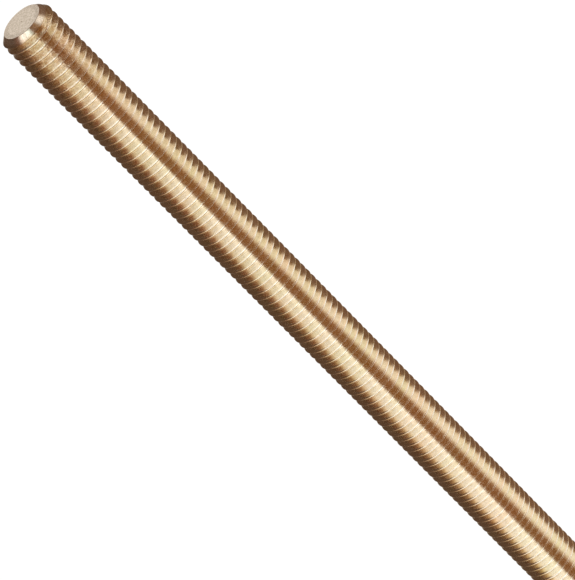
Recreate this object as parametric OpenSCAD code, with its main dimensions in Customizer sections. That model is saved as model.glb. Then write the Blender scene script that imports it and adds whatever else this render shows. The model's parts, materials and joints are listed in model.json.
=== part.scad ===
// Fully threaded rod: 5/8-11 UNC, right-hand, one foot long, with both ends chamfered.
// The solid is the envelope of the rod. It has the full diameter over the thread crests,
// and each end chamfer runs down past the thread root to a flat, square-cut end face.
// The rod lies along X, and the origin is on its axis, halfway along it.

/* [Rod] */
// Length over both end faces
rod_length = 304.8; // [60:0.1:1000]

/* [Thread] */
// Major diameter, over the crests
major_d = 15.875; // [11:0.005:40]
// Pitch: 25.4 mm divided by 11 turns
pitch = 2.309; // [0.8:0.001:3]

/* [End chamfers] */
// How far the end face's edge lies inside the thread root
face_below_root = 0.66; // [0.1:0.01:1.2]
// Angle between the chamfer and the rod's axis
chamfer_angle = 45; // [25:1:60]

/* [Hidden] */

// Depth of a 60-degree unified external thread, as a share of its pitch
thread_depth_per_pitch = 0.6134;
// Segments shown round the rod
round_fn = 96;
rod_color = [0.80, 0.62, 0.38];

major_r = major_d / 2;
root_r = major_r - thread_depth_per_pitch * pitch;
face_r = root_r - face_below_root;
chamfer_length = (major_r - face_r) / tan(chamfer_angle);
half_length = rod_length / 2;
half_full_length = half_length - chamfer_length;

// Half of the rod's section: radius across, and position along the axis upwards
function half_section() = [
    [0, -half_length],
    [face_r, -half_length],
    [major_r, -half_full_length],
    [major_r, half_full_length],
    [face_r, half_length],
    [0, half_length],
];

// The rod, turned from its section and laid along X
module threaded_rod() {
    color(rod_color)
        rotate([0, 90, 0])
            rotate_extrude($fn = round_fn)
                polygon(half_section());
}

threaded_rod();
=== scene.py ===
import json
import math
from collections import namedtuple

import bmesh
import bpy
import numpy as np
from mathutils import Matrix, Vector


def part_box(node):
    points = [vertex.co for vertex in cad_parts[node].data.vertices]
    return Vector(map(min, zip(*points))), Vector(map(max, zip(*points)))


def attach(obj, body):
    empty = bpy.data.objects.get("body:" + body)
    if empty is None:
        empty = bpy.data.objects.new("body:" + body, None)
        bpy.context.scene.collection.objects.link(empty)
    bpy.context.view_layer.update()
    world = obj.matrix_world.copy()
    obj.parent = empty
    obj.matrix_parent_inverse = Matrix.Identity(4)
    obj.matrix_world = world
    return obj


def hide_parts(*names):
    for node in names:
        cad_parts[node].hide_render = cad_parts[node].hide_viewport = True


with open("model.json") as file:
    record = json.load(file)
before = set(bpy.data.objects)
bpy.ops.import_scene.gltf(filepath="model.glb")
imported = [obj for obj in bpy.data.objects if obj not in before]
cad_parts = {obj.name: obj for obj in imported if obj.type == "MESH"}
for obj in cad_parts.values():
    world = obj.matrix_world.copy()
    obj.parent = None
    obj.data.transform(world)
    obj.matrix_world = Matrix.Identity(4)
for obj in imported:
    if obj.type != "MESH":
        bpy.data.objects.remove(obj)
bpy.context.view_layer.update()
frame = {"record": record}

# ---- The rod, in metres. It lies along X with its axis through the origin. ----
NODE = "threaded_rod"
MM_PER_M = 1000
LOW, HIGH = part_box(NODE)
THREAD = next(m for m in frame["record"]["mounts"] if m["name"] == "thread")["dims"]

LENGTH = HIGH.x - LOW.x
CREST_RADIUS = min(HIGH.y, HIGH.z)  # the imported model's facets lie a little inside the rod
CHAMFER = (LENGTH - THREAD["length_mm"] / MM_PER_M) / 2  # at 45 degrees, as deep as it is long
FACE_RADIUS = THREAD["r_mm"] / MM_PER_M - CHAMFER

# A 60 degree thread of 11 turns to the inch, with a round root and a rolled, round crest
INCH = 0.0254
TURNS_PER_INCH = 11
PITCH = INCH / TURNS_PER_INCH
SHARP_DEPTH = math.sqrt(3) / 2 * PITCH  # of the same thread without its arcs
CREST_ARC = SHARP_DEPTH / 8  # the arcs' radii
ROOT_ARC = SHARP_DEPTH / 6
DEPTH = SHARP_DEPTH - ROOT_ARC - CREST_ARC  # each arc takes off as much as its radius
ARC_ANGLE = math.radians(60)  # each side of an arc's middle, and the flanks' slope
ROOT_RADIUS = CREST_RADIUS - DEPTH
START_TURN = 0.066  # where the crest stands at the near end face, in turns

# How finely the thread is drawn
STEPS = 64  # along each turn
CREST_STEPS = 6  # across the crest's arc
ROOT_STEPS = 3  # across the root's arc, an odd number
SPARE_TURNS = 2  # past each end, cut away again
BLANK_STEPS = 192  # round the blank that cuts the ends
BLANK_SPARE = 0.0003  # how far the blank stands over the crests
SLIVER = 2e-7  # edges shorter than this are closed up
AXIS_GUARD = 1e-9  # the least radius that a division uses
SLOPE_GUARD = 1e-12  # the least square that slope() takes a root of

# The flat map for baking
MAP_COLUMNS = 3
MAP_TURNS = 45  # in each column
MAP_GAP = 0.0015
MAP_COLUMN_WIDTH = math.tau * CREST_RADIUS + MAP_GAP
MAP_SAMPLES = 400  # across one pitch, to measure the profile's length
MAP_FAR_DISC = 4  # how many disc radii up the far end's disc lies

# Marks of the turning tool on the end faces
PIP_RADIUS = 0.00022
PIP_FLOOR_RADIUS = PIP_RADIUS / 2
PIP_DEPTH = 0.0002
TOOL_RINGS = (0.79, 0.865, 0.935)  # shares of the end face's radius
RING_WIDTH = 0.0003
RING_DEPTH = 0.000025
EDGE_BREAK = 0.00008

TURNED_SLOT = 1  # which of the rod's materials its chamfers and end faces have


# ---- The thread's surface, as formulas ----
def profile():
    """The points (axial offset, radius) of one pitch, from root to root."""
    root = [
        (ROOT_ARC * math.sin(a), ROOT_RADIUS + ROOT_ARC * (1 - math.cos(a)))
        for a in np.linspace(-ARC_ANGLE, ARC_ANGLE, ROOT_STEPS + 1)
    ]
    crest = [
        (CREST_ARC * math.sin(a), CREST_RADIUS - CREST_ARC * (1 - math.cos(a)))
        for a in np.linspace(-ARC_ANGLE, ARC_ANGLE, CREST_STEPS + 1)
    ]
    half = PITCH / 2
    left = [(x - half, r) for x, r in root if x > 0]
    right = [(x + half, r) for x, r in root if x < 0]
    return left + crest + right


def slope(offset):
    """How fast the radius grows along X, at these axial offsets from a crest."""
    root_offset = offset - np.copysign(PITCH / 2, offset)
    crest_x = CREST_ARC * math.sin(ARC_ANGLE)
    root_x = ROOT_ARC * math.sin(ARC_ANGLE)
    flank = -np.sign(offset) * math.tan(ARC_ANGLE)
    in_crest = -offset / np.sqrt(np.maximum(CREST_ARC**2 - offset**2, SLOPE_GUARD))
    in_root = root_offset / np.sqrt(np.maximum(ROOT_ARC**2 - root_offset**2, SLOPE_GUARD))
    found = np.where(np.abs(offset) < crest_x, in_crest, flank)
    return np.where(np.abs(root_offset) < root_x, in_root, found)


def crest_offset(x, angle):
    """The axial offset from the nearest crest, and the number of that crest's turn."""
    turns = (x - LOW.x) / PITCH - START_TURN - angle / math.tau
    turn = np.floor(turns + 0.5)
    return (turns - turn) * PITCH, turn


def thread_normals(places):
    """The thread's own normal at each place."""
    x, y, z = places.T
    radius = np.maximum(np.hypot(y, z), AXIS_GUARD)
    angle = np.arctan2(z, y)
    offset, _ = crest_offset(x, angle)
    rise = slope(offset)
    around = rise * PITCH / (math.tau * radius)
    normal = np.stack(
        [
            -rise,
            np.cos(angle) - around * np.sin(angle),
            np.sin(angle) + around * np.cos(angle),
        ],
        1,
    )
    return normal / np.linalg.norm(normal, axis=1)[:, None]


# ---- Meshes ----
def mesh_object(name, verts, faces, material):
    """A new mesh object in the scene."""
    mesh = bpy.data.meshes.new(name)
    mesh.from_pydata([tuple(v) for v in verts], [], faces)
    mesh.materials.append(material)
    mesh.update()
    made = bpy.data.objects.new(name, mesh)
    bpy.context.scene.collection.objects.link(made)
    return made


def helix(name, material):
    """The thread swept a little past both ends of the rod, closed by a fan at each end."""
    offset, radius = np.array(profile()).T
    across = len(offset)
    rows = (math.ceil(LENGTH / PITCH) + 2 * SPARE_TURNS) * STEPS
    start = LOW.x + (START_TURN - SPARE_TURNS) * PITCH
    angle = math.tau * np.arange(rows + STEPS + 1) / STEPS
    x = start + PITCH * angle / math.tau
    grid = np.empty((len(angle), across, 3))
    grid[:, :, 0] = x[:, None] + offset
    grid[:, :, 1] = np.cos(angle)[:, None] * radius
    grid[:, :, 2] = np.sin(angle)[:, None] * radius
    # The last turn's far edge is the first column of a turn that isn't drawn.
    verts = [*grid[: rows + 1].reshape(-1, 3), *grid[rows + 1 :, 0]]

    def at(row, column):
        """A vertex's number. A row's last column is the first one of the turn after it."""
        if column < across:
            return row * across + column
        after = row + STEPS
        if after <= rows:
            return after * across
        return (rows + 1) * across + after - rows - 1

    faces = [
        (at(i, j), at(i, j + 1), at(i + 1, j + 1), at(i + 1, j))
        for i in range(rows)
        for j in range(across)
    ]

    def close(edge, hub_x, far):
        """A fan of faces between an open edge and a point on the axis."""
        hub = len(verts)
        verts.append((hub_x, 0, 0))
        for a, b in zip(edge, edge[1:] + edge[:1]):
            faces.append((hub, b, a) if far else (hub, a, b))

    inner_columns = range(across - 1, 0, -1)
    near_edge = [at(i, 0) for i in range(STEPS + 1)]
    near_edge += [at(0, j) for j in inner_columns]
    far_edge = [at(rows - STEPS + i, across) for i in range(STEPS + 1)]
    far_edge += [at(rows, j) for j in inner_columns]
    close(near_edge, start, far=False)
    close(far_edge, start + rows / STEPS * PITCH, far=True)
    return mesh_object(name, verts, faces, material)


def lathe(name, outline, steps, material):
    """The outline of (x, radius) turned round X. Its first and last points are on the axis."""
    verts = [(outline[0][0], 0, 0)]
    for x, radius in outline[1:-1]:
        for k in range(steps):
            angle = math.tau * k / steps
            verts.append((x, radius * math.cos(angle), radius * math.sin(angle)))
    verts.append((outline[-1][0], 0, 0))
    rings = len(outline) - 2
    faces = []
    for k in range(steps):
        after = (k + 1) % steps
        faces.append((0, 1 + k, 1 + after))
        for ring in range(rings - 1):
            this, following = 1 + ring * steps, 1 + (ring + 1) * steps
            faces.append((this + k, following + k, following + after, this + after))
        last = 1 + (rings - 1) * steps
        faces.append((last + after, last + k, len(verts) - 1))
    return mesh_object(name, verts, faces, material)


def blank_outline():
    """A bar a little over the thread, with turned ends: a centre pip, tool rings and a chamfer."""
    end = LENGTH / 2
    half = [(end - PIP_DEPTH, 0.0), (end - PIP_DEPTH, PIP_FLOOR_RADIUS), (end, PIP_RADIUS)]
    for share in TOOL_RINGS:
        middle = share * FACE_RADIUS
        half += [
            (end, middle - RING_WIDTH / 2),
            (end - RING_DEPTH, middle),
            (end, middle + RING_WIDTH / 2),
        ]
    down_chamfer = EDGE_BREAK / math.sqrt(2)
    past_crests = CHAMFER + BLANK_SPARE
    half += [
        (end, FACE_RADIUS - EDGE_BREAK),
        (end - down_chamfer, FACE_RADIUS + down_chamfer),
        (end - past_crests, FACE_RADIUS + past_crests),
    ]
    return [(-x, r) for x, r in half] + [(x, r) for x, r in reversed(half)]


def drop_slivers(mesh):
    """Closes the faces of no width that the cut leaves."""
    work = bmesh.new()
    work.from_mesh(mesh)
    bmesh.ops.dissolve_degenerate(work, dist=SLIVER, edges=work.edges)
    work.to_mesh(mesh)
    work.free()


# ---- The rod's true normals, and its flat map ----
def numbers(collection, name, width=1, kind=np.float32):
    """One property of all of a mesh's vertices, corners or faces, a row for each."""
    found = np.empty(len(collection) * width, kind)
    collection.foreach_get(name, found)
    return found.reshape(-1, width) if width > 1 else found


def corners_of(mesh):
    """For each face corner: its place, its face's normal and middle, and whether it is turned."""
    vertex = numbers(mesh.loops, "vertex_index", kind=np.int32)
    face = np.repeat(
        np.arange(len(mesh.polygons)), numbers(mesh.polygons, "loop_total", kind=np.int32)
    )
    place = numbers(mesh.vertices, "co", 3)[vertex].astype(float)
    normal = numbers(mesh.polygons, "normal", 3)[face].astype(float)
    middle = numbers(mesh.polygons, "center", 3)[face].astype(float)
    turned = numbers(mesh.polygons, "material_index", kind=np.int32)[face] == TURNED_SLOT
    return place, normal, middle, turned


def smooth(mesh):
    """Gives every corner its true normal: the thread's, a chamfer's, or an end face's."""
    along_axis, off_axis = [1, 0, 0], [0, 1, 1]
    place, flat, middle, turned = corners_of(mesh)
    outward = place * off_axis
    outward /= np.maximum(np.linalg.norm(outward, axis=1), AXIS_GUARD)[:, None]
    facing_out = np.sign((flat * middle * off_axis).sum(1))
    lean = facing_out * np.sqrt(np.maximum(1 - flat[:, 0] ** 2, 0))
    lathed = flat * along_axis + outward * lean[:, None]
    normals = np.where(turned[:, None], lathed, thread_normals(place))
    mesh.shade_smooth()
    mesh.normals_split_custom_set(normals.tolist())


def unrolled_thread(place, middle):
    """Where corners lie in columns of unrolled turns. middle is the middle of each one's face."""
    x, y, z = place.T
    centre_angle = np.arctan2(middle[:, 2], middle[:, 1])
    angle = np.arctan2(z, y) - centre_angle
    angle = centre_angle + (angle + math.pi) % math.tau - math.pi
    # Along the profile, the map measures true lengths.
    across = np.linspace(-PITCH / 2, PITCH / 2, MAP_SAMPLES + 1)
    steps = np.hypot(1, slope((across[1:] + across[:-1]) / 2)) * np.diff(across)
    reach = np.concatenate([[0], np.cumsum(steps)])
    offset, turn = crest_offset(x, angle)
    strip = turn * reach[-1] + np.interp(offset, across, reach)
    _, middle_turn = crest_offset(middle[:, 0], centre_angle)
    column = np.clip(middle_turn // MAP_TURNS, 0, MAP_COLUMNS - 1)
    return np.stack(
        [
            (column + 0.5) * MAP_COLUMN_WIDTH + angle * CREST_RADIUS,
            strip - column * MAP_TURNS * reach[-1] + 2 * MAP_GAP,
        ],
        1,
    )


def end_discs(place):
    """Where corners of the turned ends lie, in a disc for each end beside the columns."""
    x, y, z = place.T
    radius = np.hypot(y, z)
    # Along a chamfer of 45 degrees, too, the map measures true lengths.
    spread = radius + np.maximum(radius - FACE_RADIUS, 0) * (math.sqrt(2) - 1)
    divisor = np.maximum(radius, AXIS_GUARD)
    disc = CREST_RADIUS + MAP_GAP
    return np.stack(
        [
            MAP_COLUMNS * MAP_COLUMN_WIDTH + disc + y / divisor * spread,
            np.where(x < 0, disc, MAP_FAR_DISC * disc) + z / divisor * spread,
        ],
        1,
    )


def unroll(mesh):
    """A flat map of the surface for baking: columns of unrolled turns, and a disc for each end."""
    place, _, middle, turned = corners_of(mesh)
    flat = np.where(turned[:, None], end_discs(place), unrolled_thread(place, middle))
    low = flat.min(0)
    layer = mesh.uv_layers.new(name="OFBake")
    layer.uv.foreach_set("vector", ((flat - low) / (flat - low).max()).ravel().astype(np.float32))


# ---- Materials. Their lengths are in millimetres, apart from the depth of a bump. ----
class Recipe:
    """A material's node tree, built by one short call for each step."""

    def __init__(self, name):
        self.material = bpy.data.materials.new(name)
        self.material.use_nodes = True
        self.nodes = self.material.node_tree.nodes
        self.links = self.material.node_tree.links
        self.shader = self.nodes["Principled BSDF"]

    def put(self, socket, value):
        """Links a socket to another node's output, or sets it to a plain value."""
        if isinstance(value, bpy.types.NodeSocket):
            self.links.new(value, socket)
        else:
            socket.default_value = value

    def calc(self, operation, first, second=0.0):
        """One step of arithmetic."""
        node = self.nodes.new("ShaderNodeMath")
        node.operation = operation
        self.put(node.inputs[0], first)
        self.put(node.inputs[1], second)
        return node.outputs[0]

    def times(self, first, second):
        """The product of two values."""
        return self.calc("MULTIPLY", first, second)

    def plus(self, first, second):
        """The sum of two values."""
        return self.calc("ADD", first, second)

    def minus(self, first, second):
        """The difference of two values."""
        return self.calc("SUBTRACT", first, second)

    def mix(self, share, first, second, blend="MIX"):
        """Blends a share of the second colour into the first."""
        node = self.nodes.new("ShaderNodeMix")
        node.data_type = "RGBA"
        node.blend_type = blend
        self.put(node.inputs["Factor"], share)
        self.put(node.inputs["A"], first)
        self.put(node.inputs["B"], second)
        return node.outputs["Result"]

    def shade(self, colour, tone):
        """The colour times a plain value."""
        return self.mix(1.0, colour, self.vector(tone, tone, tone), "MULTIPLY")

    def spread(self, value, low, high, to_low=0.0, to_high=1.0):
        """Carries the range low..high smoothly over to to_low..to_high."""
        node = self.nodes.new("ShaderNodeMapRange")
        node.interpolation_type = "SMOOTHSTEP"
        names = ("Value", "From Min", "From Max", "To Min", "To Max")
        for name, given in zip(names, (value, low, high, to_low, to_high)):
            self.put(node.inputs[name], given)
        return node.outputs["Result"]

    def vector(self, x, y, z):
        """Three values as one vector."""
        node = self.nodes.new("ShaderNodeCombineXYZ")
        for socket, value in zip(node.inputs, (x, y, z)):
            self.put(socket, value)
        return node.outputs[0]

    def noise(self, place, scale=1.0, detail=2.0, roughness=0.5):
        """Soft noise. Nearly all of it lies within NOISE_SPAN."""
        node = self.nodes.new("ShaderNodeTexNoise")
        node.inputs["Scale"].default_value = scale
        node.inputs["Detail"].default_value = detail
        node.inputs["Roughness"].default_value = roughness
        self.put(node.inputs["Vector"], place)
        return node.outputs["Fac"]

    def place(self):
        """The surface point in millimetres, as a vector and as x, y and z."""
        where = self.nodes.new("ShaderNodeTexCoord").outputs["Object"]
        scaled = self.nodes.new("ShaderNodeVectorMath")
        scaled.operation = "SCALE"
        scaled.inputs["Scale"].default_value = MM_PER_M
        self.put(scaled.inputs[0], where)
        split = self.nodes.new("ShaderNodeSeparateXYZ")
        self.put(split.inputs[0], scaled.outputs[0])
        return scaled.outputs[0], *split.outputs

    def bump(self, height, depth):
        """Raises the surface by height times depth, in metres."""
        node = self.nodes.new("ShaderNodeBump")
        node.inputs["Strength"].default_value = 1
        node.inputs["Distance"].default_value = depth
        self.put(node.inputs["Height"], height)
        self.put(self.shader.inputs["Normal"], node.outputs[0])


# A SPAN is the part of a noise's range that is used, and TONES are what it becomes. A FADE is
# the range of places over which something comes in or goes out.
NOISE_SPAN = (0.3, 0.7)

# The rolled thread. A place across it is a share of the pitch, from the crest's middle.
FLANK_COLOUR = (0.88, 0.785, 0.635, 1)
# The crests' paler colour is partly polish from rolling and partly a painted highlight.
CREST_POLISH_AND_HIGHLIGHT_COLOUR = (0.94, 0.865, 0.73, 1)
ROOT_COLOUR = (0.82, 0.69, 0.50, 1)
CREST_POLISH_AND_HIGHLIGHT_FADE = (0.05, 0.11)
ROOT_FADE = (0.38, 0.48)
ROOT_STRENGTH = 0.8
PINK_TINT = (1.0, 0.955, 0.93, 1)
GREEN_TINT = (0.975, 1.0, 0.93, 1)
PINK_SPAN = (0.5, 0.68)
GREEN_SPAN = (0.5, 0.32)
TINT_SCALE = (1.7, 0.61)  # along each turn, and from turn to turn
STREAK_SCALE = (22.0, 16.0)  # along each turn, and across the thread
MOTTLE_TONES = (0.88, 1.06)
WORN_FADE = (8.0, 36.0)  # from the nearer end
DULL_FADE = (4.0, 28.0)
DULL_TONES = (0.97, 1.02)
BLOTCH_DARK = (0.92, 0.88, 0.81, 1)
BLOTCH_PALE = (1.05, 1.04, 1.09, 1)
BLOTCH_SPAN = (0.35, 0.65)
BLOTCH_STRENGTH = (0.35, 0.65)  # everywhere, and how much more where it is worn
TARNISH = (0.66, 0.45, 0.25, 1)
STAIN_SCALE = (30.0, 5.0)  # along each turn, and across the thread
STAIN_SPAN = (0.5, 0.64)
STAIN_STRENGTH = 0.75
ROLLED_ROUGHNESS = (0.13, 0.22)
WORN_ROUGHNESS = 0.05
MOTTLE_HEIGHT = (0.65, 0.6)  # everywhere, and how much more where it is worn
BLOTCH_HEIGHT = 1.4
ROLLED_BUMP = 0.000016

# The turned ends. Their fades are measured from the axis.
FACE_DARK = (0.72, 0.64, 0.54, 1)
FACE_PALE = (0.93, 0.86, 0.76, 1)
GRAIN_SPAN = (0.32, 0.68)
MARK_SCALE = 9.0
BAND_SCALE = 3.2
BAND_SPAN = (0.35, 0.65)
BAND_TONES = (0.93, 1.05)
PIT_COLOUR = (0.42, 0.33, 0.22, 1)
PIT_SPAN = (0.62, 0.74)
PIT_STRENGTH = 0.5
CHAMFER_DULL = (0.74, 0.68, 0.60, 1)
CHAMFER_FADE = (6.6, 7.4)
# Painted shade: the centre pip is darkened as if shade filled it.
PIP_SHADE_COLOUR = (0.20, 0.14, 0.09, 1)
PIP_SHADE_FADE = (0.14, 0.26)
PIP_SHADE_STRENGTH = 0.85
TURNED_METALLIC = 0.975
TURNED_ROUGHNESS = (0.11, 0.20)
TURNED_BUMP = 0.0000035


def thread_places(r, x, y, z):
    """Turns passed along X, the nearest crest's number, and turns passed along the thread."""
    angle = r.calc("DIVIDE", r.calc("ARCTAN2", z, y), math.tau)
    pitches = r.calc("DIVIDE", r.minus(x, LOW.x * MM_PER_M), PITCH * MM_PER_M)
    turns = r.minus(r.minus(pitches, angle), START_TURN)
    number = r.calc("FLOOR", r.plus(turns, 0.5))
    return turns, number, r.plus(number, angle)


def thread_colour(r, away):
    """Paler crests, partly polish and partly a painted highlight, and darker roots. away is how far
    a point is from the crest, in pitches.
    """
    # The paler crest band: partly polish, partly a painted highlight.
    crest = r.spread(away, *CREST_POLISH_AND_HIGHLIGHT_FADE, 1.0, 0.0)
    root = r.spread(away, *ROOT_FADE)
    colour = r.mix(crest, FLANK_COLOUR, CREST_POLISH_AND_HIGHLIGHT_COLOUR)
    return r.mix(r.times(root, ROOT_STRENGTH), colour, ROOT_COLOUR)


def tinted(r, colour, along, number):
    """A slow change of tint from turn to turn, and along each turn."""
    along_scale, turn_scale = TINT_SCALE
    tint = r.noise(r.vector(r.times(along, along_scale), r.times(number, turn_scale), 0.0))
    colour = r.mix(r.spread(tint, *PINK_SPAN), colour, PINK_TINT, "MULTIPLY")
    return r.mix(r.spread(tint, *GREEN_SPAN), colour, GREEN_TINT, "MULTIPLY")


def thread_noise(r, scale, turns, number, along, roughness):
    """Noise that follows the thread, and differs from turn to turn."""
    along_scale, across_scale = scale
    place = r.vector(r.times(along, along_scale), r.times(turns, across_scale), number)
    return r.noise(place, detail=3.0, roughness=roughness)


def rolled_brass():
    """Bright rolled threads: paler crests, partly polish and partly a painted highlight, each turn
    a little different, fine marks along them.
    """
    r = Recipe("rolled_brass")
    where, x, y, z = r.place()
    turns, number, along = thread_places(r, x, y, z)
    away = r.calc("ABSOLUTE", r.minus(turns, number))
    colour = tinted(r, thread_colour(r, away), along, number)
    # Rolling marks: fine streaks that follow the thread, and a grain
    streaks = thread_noise(r, STREAK_SCALE, turns, number, along, roughness=0.6)
    grain = r.noise(where, scale=3.0)
    mottle = r.times(r.plus(streaks, grain), 0.5)
    colour = r.shade(colour, r.spread(mottle, *NOISE_SPAN, *MOTTLE_TONES))
    # Handling wear: duller, with small warm stains, over the last turns at both ends
    from_end = r.minus(LENGTH / 2 * MM_PER_M, r.calc("ABSOLUTE", x))
    worn = r.spread(from_end, *WORN_FADE, 1.0, 0.0)
    blotch = r.spread(r.noise(where, scale=1.1, detail=3.0, roughness=0.6), *BLOTCH_SPAN)
    everywhere, more = BLOTCH_STRENGTH
    share = r.plus(everywhere, r.times(worn, more))
    colour = r.mix(share, colour, r.mix(blotch, BLOTCH_DARK, BLOTCH_PALE), "MULTIPLY")
    colour = r.shade(colour, r.spread(from_end, *DULL_FADE, *DULL_TONES))
    stains = thread_noise(r, STAIN_SCALE, turns, number, along, roughness=0.65)
    stains = r.spread(stains, *STAIN_SPAN)
    colour = r.mix(r.times(r.times(worn, stains), STAIN_STRENGTH), colour, TARNISH)
    r.put(r.shader.inputs["Base Color"], colour)
    r.shader.inputs["Metallic"].default_value = 1
    rough = r.spread(mottle, *NOISE_SPAN, *ROLLED_ROUGHNESS)
    r.put(r.shader.inputs["Roughness"], r.plus(rough, r.times(worn, WORN_ROUGHNESS)))
    everywhere, more = MOTTLE_HEIGHT
    height = r.times(mottle, r.plus(everywhere, r.times(worn, more)))
    height = r.plus(height, r.times(worn, r.times(blotch, BLOTCH_HEIGHT)))
    r.bump(height, ROLLED_BUMP)
    return r.material


def turned_brass():
    """The chamfers and end faces: fine turning marks round the axis, a little dirt, and painted
    shade in the centre pip.
    """
    r = Recipe("turned_brass")
    where, x, y, z = r.place()
    radius = r.calc("SQRT", r.plus(r.times(y, y), r.times(z, z)))
    mark_place = r.vector(r.times(radius, MARK_SCALE), r.times(x, MARK_SCALE), 0.0)
    marks = r.noise(mark_place, detail=3.0, roughness=0.7)
    grain = r.noise(where, scale=2.2, detail=3.0, roughness=0.6)
    colour = r.mix(r.spread(grain, *GRAIN_SPAN), FACE_DARK, FACE_PALE)
    band = r.noise(r.vector(r.times(radius, BAND_SCALE), 0.0, 0.0))
    colour = r.shade(colour, r.spread(band, *BAND_SPAN, *BAND_TONES))
    pits = r.spread(r.noise(where, scale=4.5), *PIT_SPAN)
    colour = r.mix(r.times(pits, PIT_STRENGTH), colour, PIT_COLOUR)
    colour = r.mix(r.spread(radius, *CHAMFER_FADE), colour, CHAMFER_DULL, "MULTIPLY")
    # Painted shade in the centre pip
    colour = r.mix(r.spread(radius, *PIP_SHADE_FADE, PIP_SHADE_STRENGTH, 0.0), colour, PIP_SHADE_COLOUR)
    r.put(r.shader.inputs["Base Color"], colour)
    r.shader.inputs["Metallic"].default_value = TURNED_METALLIC
    r.put(r.shader.inputs["Roughness"], r.spread(marks, *NOISE_SPAN, *TURNED_ROUGHNESS))
    r.bump(marks, TURNED_BUMP)
    return r.material


def build_rod():
    """The swept thread, cut to the shape of a turned blank."""
    thread_metal = rolled_brass()
    turned_metal = turned_brass()
    rod = helix("rod", thread_metal)
    blank = lathe("blank", blank_outline(), BLANK_STEPS, turned_metal)
    rod.data.materials.append(turned_metal)
    cut = rod.modifiers.new("ends", "BOOLEAN")
    cut.operation = "INTERSECT"
    cut.solver = "MANIFOLD"
    cut.object = blank
    bpy.context.view_layer.update()
    made = bpy.data.meshes.new_from_object(rod.evaluated_get(bpy.context.evaluated_depsgraph_get()))
    rod.modifiers.clear()
    rod.data = made
    bpy.data.objects.remove(blank)
    drop_slivers(rod.data)
    smooth(rod.data)
    unroll(rod.data)
    return rod


# ---- The camera ----
CAMERA_AIM = LOW.x + 0.1110  # the place along X that is in the middle of the view
CAMERA_HIGH = 0.00017  # and how far that middle is above the rod's axis, in the picture
CAMERA_DISTANCE = 1.2627
CAMERA_ALONG = math.radians(60.5)  # between the line of sight and the rod
CAMERA_LIFT = math.radians(52.0)  # round the rod, up from the horizon
ROD_SLOPE = math.radians(45.36)  # down to the right, in the picture
CAMERA_LENS = 293.2
CAMERA_REACH = 20  # past the floor's corners


def add_camera():
    """Looks down on the rod from its near end, with the rod running down to the right."""
    back = Vector(
        (
            -math.cos(CAMERA_ALONG),
            -math.sin(CAMERA_ALONG) * math.cos(CAMERA_LIFT),
            math.sin(CAMERA_ALONG) * math.sin(CAMERA_LIFT),
        )
    )
    along = (Vector((1, 0, 0)) - back.x * back).normalized()
    right = math.cos(ROD_SLOPE) * along + math.sin(ROD_SLOPE) * back.cross(along)
    turn = Matrix((right, back.cross(right), back)).transposed()
    camera = bpy.data.objects.new("camera", bpy.data.cameras.new("camera"))
    camera.data.lens = CAMERA_LENS
    camera.data.clip_end = CAMERA_REACH
    aim = Vector((CAMERA_AIM, 0, 0)) + CAMERA_HIGH * back.cross(along)
    camera.matrix_world = Matrix.Translation(aim + CAMERA_DISTANCE * back) @ turn.to_4x4()
    bpy.context.scene.collection.objects.link(camera)
    bpy.context.scene.camera = camera


# ---- The studio: a tent round the rod, which only reflections show ----
TENT_RADIUS = 0.5
TENT_HALF_LENGTH = 2.0
TENT_STEPS = (180, 160)  # round the axis, and along it

# A panel of light lies between two angles, low and high, and two places, near and far. Angles
# are in degrees round the rod's axis, from the line of sight towards the rod's upper side.
# Places are along X, in metres. Each of these edges is (its middle, how wide it fades). Where
# panels overlap, their light adds up.
Panel = namedtuple("Panel", "low high near far colour")
NEAR_SIDE, FAR_SIDE = (-9, 1), (9, 1)  # well beyond the tent's own ends
EVERYWHERE = (NEAR_SIDE, FAR_SIDE)
NEAR_EDGE = (-0.63, 0.1)
MIDDLE = (0.0, 0.1)
PAST_MIDDLE = (0.21, 0.2)
FRONT_LOW = (-65, 22)
SKIRT_LOW = (-87, 45)
FRONT_TOP = (-15, 14)
KEY_TOP = (-0.5, 4)
UPPER_LOW = (54.5, 22)
UPPER_TOP = (98, 2)

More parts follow.
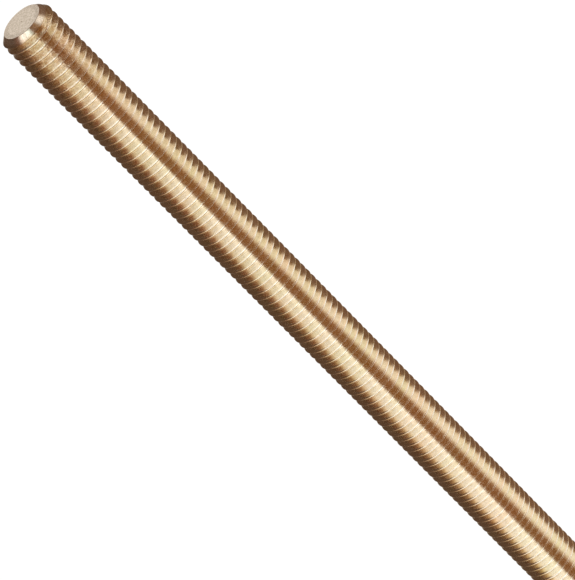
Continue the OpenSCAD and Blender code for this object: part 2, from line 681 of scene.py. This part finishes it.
DARK_ROOM = (0.108, 0.062, 0.038)
TENT_PANELS = (
    # The wide softbox in front, and its warmer skirt, both stronger past the rod's middle
    Panel(FRONT_LOW, FRONT_TOP, *EVERYWHERE, (0.44, 0.60, 0.56)),
    Panel(FRONT_LOW, FRONT_TOP, PAST_MIDDLE, FAR_SIDE, (0.0, 0.1, 0.64)),
    Panel(SKIRT_LOW, FRONT_TOP, *EVERYWHERE, (0.20, 0.03, 0.0)),
    Panel(SKIRT_LOW, FRONT_TOP, PAST_MIDDLE, FAR_SIDE, (0.58, 0.67, 0.46)),
    # A warm lamp low in front, past the rod's middle
    Panel((-82, 14), (-56, 14), PAST_MIDDLE, FAR_SIDE, (0.34, 0.22, 0.0)),
    # The key strip along the wide softbox's upper edge
    Panel((-15, 20), KEY_TOP, (-0.45, 0.1), FAR_SIDE, (1.25, 1.50, 1.68)),
    # A narrow hoop lamp, which draws the bright lines on the crests
    Panel(SKIRT_LOW, (-8, 40), (-0.1, 0.1), (-0.04, 0.1), (1.40, 1.20, 0.72)),
    # The brown flag between the two softboxes, and another beyond the near end
    Panel(FRONT_TOP, UPPER_LOW, NEAR_EDGE, FAR_SIDE, (0.18, 0.068, 0.012)),
    Panel((0, 14), UPPER_LOW, NEAR_SIDE, NEAR_EDGE, (0.14, 0.062, 0.020)),
    # A warm fringe along the upper softbox's lower edge
    Panel((45, 12), (60, 12), *EVERYWHERE, (0.13, 0.06, 0.0)),
    # The softbox above, another beyond the near end, and the first one's stronger far part
    Panel(UPPER_LOW, UPPER_TOP, NEAR_EDGE, FAR_SIDE, (0.86, 0.84, 0.78)),
    Panel((64, 22), UPPER_TOP, NEAR_SIDE, NEAR_EDGE, (0.98, 0.93, 0.85)),
    Panel(UPPER_LOW, UPPER_TOP, (0.1, 0.1), FAR_SIDE, (0.28, 0.43, 0.54)),
    # The dim brown wall behind the upper softbox, brighter past the rod's middle
    Panel(UPPER_TOP, (153, 50), *EVERYWHERE, (0.10, 0.05, 0.027)),
    Panel(UPPER_TOP, (127, 40), MIDDLE, FAR_SIDE, (0.37, 0.28, 0.15)),
    # Lamps beyond the near end, which its chamfer reflects: one behind, and three in front
    Panel(UPPER_TOP, (124, 12), NEAR_SIDE, (-0.56, 0.16), (0.90, 0.80, 0.63)),
    Panel((-98, 28), FRONT_LOW, NEAR_SIDE, (-0.82, 0.3), (1.50, 1.55, 1.40)),
    Panel((-75, 20), (-25, 25), NEAR_SIDE, NEAR_EDGE, (0.50, 0.50, 0.48)),
    Panel((-35, 14), (4, 8), NEAR_SIDE, NEAR_EDGE, (0.62, 0.72, 0.68)),
    # A softbox behind, which lights the rod's back
    Panel((150, 14), (206, 14), MIDDLE, FAR_SIDE, (0.62, 0.60, 0.54)),
    # The small card that the near end face reflects
    Panel((168, 14), (192, 14), (-1.1, 0.2), (-0.05, 0.1), (0.64, 0.625, 0.585)),
)


def within(value, start, stop):
    """1 between the two edges and 0 outside them, with a straight fade at each."""
    (low, low_fade), (high, high_fade) = start, stop
    rise = np.clip((value - low) / low_fade + 0.5, 0, 1)
    fall = np.clip((high - value) / high_fade + 0.5, 0, 1)
    return np.minimum(rise, fall)


def tent_glow(angle, x):
    """The tent's colours at these angles and places along X."""
    glow = np.tile(DARK_ROOM, (len(angle), 1))
    for panel in TENT_PANELS:
        # A panel may reach past 180 degrees, where the angles start again at -180.
        once = within(angle, panel.low, panel.high)
        again = within(angle + 360, panel.low, panel.high)
        lit = np.maximum(once, again) * within(x, panel.near, panel.far)
        glow += np.outer(lit, panel.colour)
    return glow


def bare_material(name):
    """A material with an empty node tree, and the tree's nodes and links."""
    made = bpy.data.materials.new(name)
    made.use_nodes = True
    tree = made.node_tree
    tree.nodes.clear()
    return made, tree.nodes, tree.links


def tent_material():
    """Light of the colour that the mesh's glow attribute gives."""
    made, nodes, links = bare_material("tent")
    shade = nodes.new("ShaderNodeAttribute")
    shade.attribute_name = "glow"
    light = nodes.new("ShaderNodeEmission")
    links.new(shade.outputs["Color"], light.inputs["Color"])
    links.new(light.outputs[0], nodes.new("ShaderNodeOutputMaterial").inputs["Surface"])
    return made


def add_tent():
    """A closed drum round the rod's axis, lit by its panels."""
    around, lengthwise = TENT_STEPS
    angle = np.repeat(np.linspace(-180, 180, around + 1)[:-1], lengthwise + 1)
    x = np.tile(np.linspace(-TENT_HALF_LENGTH, TENT_HALF_LENGTH, lengthwise + 1), around)
    world_angle = np.radians(angle) + CAMERA_LIFT
    verts = np.stack([x, -TENT_RADIUS * np.cos(world_angle), TENT_RADIUS * np.sin(world_angle)], 1)
    faces = []
    for i in range(around):
        here, after = i * (lengthwise + 1), (i + 1) % around * (lengthwise + 1)
        for j in range(lengthwise):
            faces.append((here + j, here + j + 1, after + j + 1, after + j))
    for j in (0, lengthwise):
        faces.append([i * (lengthwise + 1) + j for i in range(around)])
    tent = mesh_object("tent", verts, faces, tent_material())
    colours = tent.data.color_attributes.new("glow", "FLOAT_COLOR", "POINT")
    rgba = np.ones((len(verts), 4), np.float32)
    rgba[:, :3] = tent_glow(angle, x)
    colours.data.foreach_set("color", rgba.ravel())
    tent.visible_camera = False
    tent.visible_diffuse = False
    tent.visible_shadow = False


# ---- The floor and the world ----
FLOOR_HEIGHT = -0.55  # just below the tent
FLOOR_HALF = 8
FLOOR_COLOUR = (0.8, 0.8, 0.8, 1)
FLOOR_GLOW = 0.25  # added where the floor is seen, which makes it white
WHITE = (1, 1, 1, 1)


def floor_material():
    """A pale floor, which the camera, metal and glass see as white."""
    made, nodes, links = bare_material("pale_floor")
    path = nodes.new("ShaderNodeLightPath").outputs
    seen = path["Is Camera Ray"]
    for ray in ("Is Glossy Ray", "Is Transmission Ray"):
        either = nodes.new("ShaderNodeMath")
        either.operation = "MAXIMUM"
        links.new(seen, either.inputs[0])
        links.new(path[ray], either.inputs[1])
        seen = either.outputs[0]
    dim = nodes.new("ShaderNodeMath")
    dim.operation = "MULTIPLY"
    dim.inputs[1].default_value = FLOOR_GLOW
    links.new(seen, dim.inputs[0])
    glow = nodes.new("ShaderNodeEmission")
    links.new(dim.outputs[0], glow.inputs["Strength"])
    paint = nodes.new("ShaderNodeBsdfDiffuse")
    paint.inputs["Color"].default_value = FLOOR_COLOUR
    both = nodes.new("ShaderNodeAddShader")
    links.new(paint.outputs[0], both.inputs[0])
    links.new(glow.outputs[0], both.inputs[1])
    links.new(both.outputs[0], nodes.new("ShaderNodeOutputMaterial").inputs["Surface"])
    return made


def add_floor():
    """A square floor below the tent."""
    corners = [(-1, -1), (1, -1), (1, 1), (-1, 1)]
    verts = [(FLOOR_HALF * x, FLOOR_HALF * y, FLOOR_HEIGHT) for x, y in corners]
    floor = mesh_object("floor", verts, [(0, 1, 2, 3)], floor_material())


def add_world():
    """An even white sky."""
    world = bpy.data.worlds.new("studio")
    world.use_nodes = True
    world.node_tree.nodes["Background"].inputs["Color"].default_value = WHITE
    bpy.context.scene.world = world
    bpy.context.scene.view_settings.view_transform = "Standard"


rod = build_rod()
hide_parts(NODE)
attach(rod, "root")
add_camera()
add_world()
add_tent()
add_floor()
